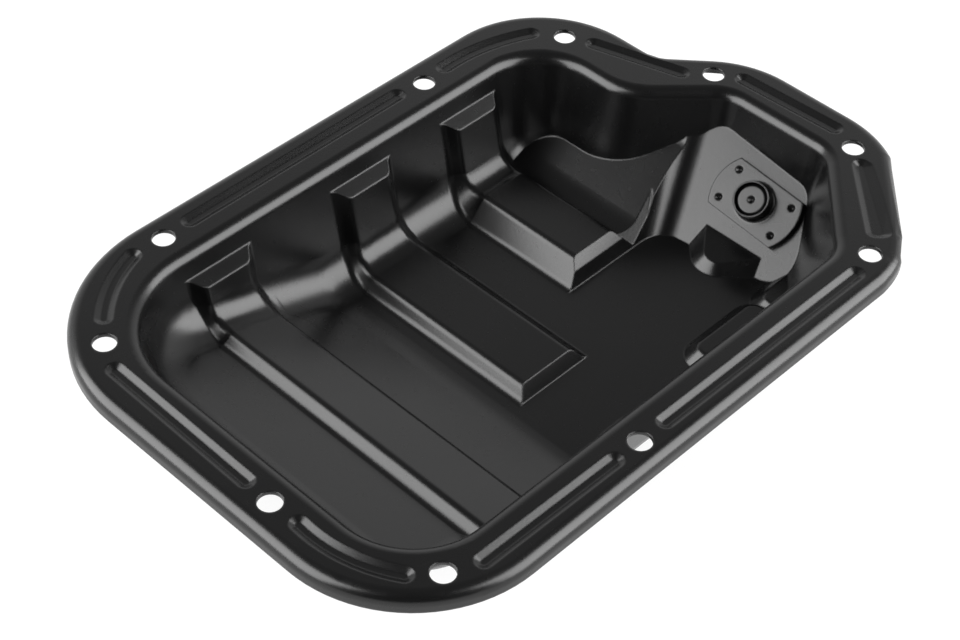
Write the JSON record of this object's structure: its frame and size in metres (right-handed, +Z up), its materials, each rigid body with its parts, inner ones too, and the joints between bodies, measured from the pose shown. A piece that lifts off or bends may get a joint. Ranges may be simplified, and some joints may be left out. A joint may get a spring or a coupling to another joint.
{
  "type": "engine oil pan",
  "caption": "Shallow stamped steel engine oil pan with a beaded bolting flange, ribbed ramped floor and a drain plug on a sloped pad.",
  "frame": {"origin": "centre of the bolt holes' bounding box, on the gasket face of the flange", "axes": "+X along the pan to the drain end, +Y to the long side that the ribs climb, +Z up out of the open side"},
  "size_m": [0.2786, 0.1902, 0.0439],
  "materials": {
    "black_paint": "satin black paint",
    "washer_metal": "plain",
    "plug_paint": "satin black paint"
  },
  "bodies": {
    "pan": {"pan_shell": "black_paint", "drain_plate": "black_paint"},
    "washer": {"drain_washer": "washer_metal"},
    "plug": {"drain_plug": "plug_paint"}
  },
  "joints": [
    {"name": "plug_draw", "type": "slide", "parent": "pan", "child": "washer", "axis": [0.6641, 0.0815, -0.7431], "range_m": [0, 0.0075]},
    {"name": "plug_turn", "type": "hinge", "parent": "washer", "child": "plug", "pos_m": [0.105, -0.024, -0.0265], "axis": [0.6641, 0.0815, -0.7431], "range_deg": [0, 2160]}
  ],
  "couplings": [
    {"joint": "plug_turn", "follows": "plug_draw", "rad_per_m": 5026.5}
  ]
}
